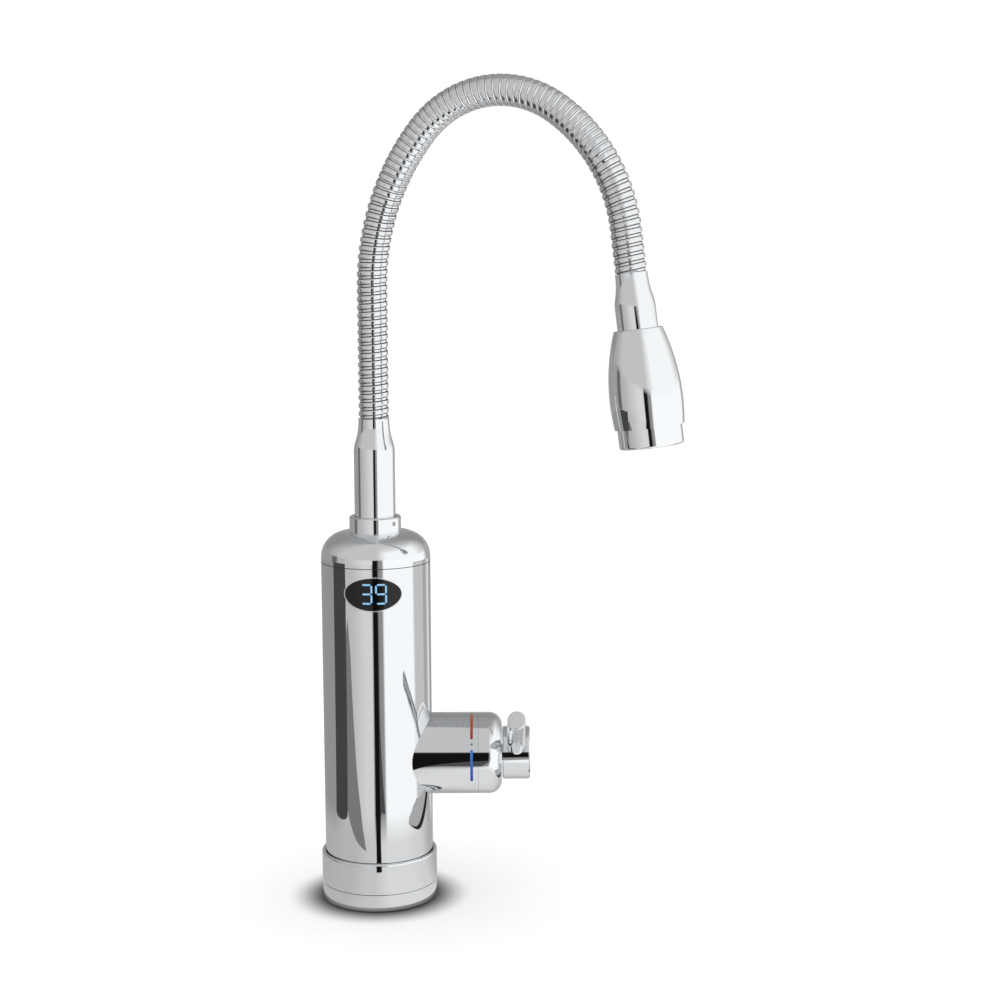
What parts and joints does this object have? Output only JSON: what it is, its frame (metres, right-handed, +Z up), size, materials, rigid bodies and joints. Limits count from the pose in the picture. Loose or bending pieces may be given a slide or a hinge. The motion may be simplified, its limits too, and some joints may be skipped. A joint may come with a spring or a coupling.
{
  "type": "instant hot water tap",
  "caption": "Instant hot water tap: upright heated body with a display, side valve with a peg lever, flexible ribbed gooseneck and a bell-shaped spray head.",
  "frame": {"origin": "on the body's axis, on the surface that the tap stands on", "axes": "+Z up, +X along the valve towards its lever, display facing -Y"},
  "size_m": [0.1959, 0.1065, 0.4503],
  "materials": {
    "chrome_metal": "polished chrome plate",
    "chrome_hose": "polished chrome plate on wound strip",
    "chrome_plastic": "chrome-plated moulded plastic",
    "lens_black": "smoked clear moulding",
    "steel": "drawn and pickled stainless steel",
    "brass": "turned brass",
    "rubber_black": "moulded rubber",
    "silicone_grey": "moulded silicone",
    "polymer_white": "moulded engineering plastic",
    "polymer_black": "moulded plastic",
    "polymer_grey": "moulded plastic",
    "board_green": "solder-masked glass-fibre board",
    "ceramic": "ground and lapped ceramic"
  },
  "bodies": {
    "tap_body": {"base_ring": "chrome_metal", "base_skirt": "chrome_metal", "body_shell": "chrome_metal", "spout_collar": "chrome_metal", "top_cap": "chrome_plastic", "bonnet": "chrome_plastic", "display_lens": "lens_black", "base_screws": "steel", "flange_screws": "steel", "collar_screw": "steel", "inlet_filter": "steel", "element_flange": "steel", "heating_element": "steel", "heater_tank": "steel", "tank_lid": "steel", "temp_probe": "steel", "inlet_socket": "brass", "outlet_nipple": "brass", "gland_nut": "brass", "foot_gasket": "rubber_black", "flange_gasket": "rubber_black", "nipple_seals": "rubber_black", "cartridge_seal": "rubber_black", "water_block": "polymer_white", "cartridge_body": "polymer_white", "cable_gland": "polymer_black", "reed_switch": "polymer_black", "thermal_cutout": "polymer_black", "display_module": "polymer_black", "display_board": "board_green", "fixed_disc": "ceramic"},
    "lever": {"turning_disc": "ceramic", "valve_spindle": "steel", "spindle_seal": "rubber_black", "handle_hub": "chrome_metal", "lever_rod": "chrome_metal"},
    "flow_piston": {"flow_piston": "polymer_white"},
    "spout": {"spout_shank": "chrome_metal", "inner_tube": "polymer_white", "hose_foot": "chrome_hose", "hose_flex_1": "chrome_hose"},
    "neck_rise": {"hose_rise": "chrome_hose", "hose_flex_2": "chrome_hose"},
    "neck_crown": {"hose_crown": "chrome_hose", "hose_flex_3": "chrome_hose"},
    "neck_drop": {"hose_drop": "chrome_hose", "hose_flex_4": "chrome_hose"},
    "spray_head": {"hose_tip": "chrome_hose", "head_neck": "chrome_plastic", "head_shell": "chrome_plastic", "head_core": "polymer_white", "head_washer": "rubber_black", "ring_clip": "steel"},
    "spray_face": {"face_ring": "chrome_plastic", "nozzle_plate": "polymer_grey", "nozzle_tips": "silicone_grey", "aerator": "polymer_grey"}
  },
  "joints": [
    {"name": "lever_turn", "type": "hinge", "parent": "tap_body", "child": "lever", "pos_m": [0.07683, 0, 0.0814], "axis": [-1, 0, 0], "range_deg": [-56, 60]},
    {"name": "flow_slide", "type": "slide", "parent": "tap_body", "child": "flow_piston", "axis": [0, 0, 1], "range_m": [0, 0.008]},
    {"name": "spout_swivel", "type": "hinge", "parent": "tap_body", "child": "spout", "pos_m": [0, 0, 0.23], "axis": [0, 0, 1], "continuous": true},
    {"name": "neck_sway", "type": "hinge", "parent": "spout", "child": "neck_rise", "pos_m": [0, 0, 0.31489], "axis": [0.9336, -0.3584, 0], "range_deg": [-20, 20], "deforming": ["hose_flex_1", "inner_tube"]},
    {"name": "neck_lean", "type": "hinge", "parent": "neck_rise", "child": "neck_crown", "pos_m": [0.00857, -0.00329, 0.3873], "axis": [0.3584, 0.9336, 0], "range_deg": [-20, 15], "deforming": ["hose_flex_2", "inner_tube"]},
    {"name": "neck_arch", "type": "hinge", "parent": "neck_crown", "child": "neck_drop", "pos_m": [0.05759, -0.02211, 0.4409], "axis": [0.3584, 0.9336, 0], "range_deg": [-28, 8], "deforming": ["hose_flex_3", "inner_tube"]},
    {"name": "neck_aim", "type": "hinge", "parent": "neck_drop", "child": "spray_head", "pos_m": [0.11955, -0.04589, 0.40915], "axis": [0.7697, -0.2955, 0.5659], "range_deg": [-20, 20], "deforming": ["hose_flex_4", "inner_tube"]},
    {"name": "face_turn", "type": "hinge", "parent": "spray_head", "child": "spray_face", "pos_m": [0.13617, -0.05227, 0.34809], "axis": [0.1219, -0.0468, -0.9914], "range_deg": [0, 90]}
  ]
}
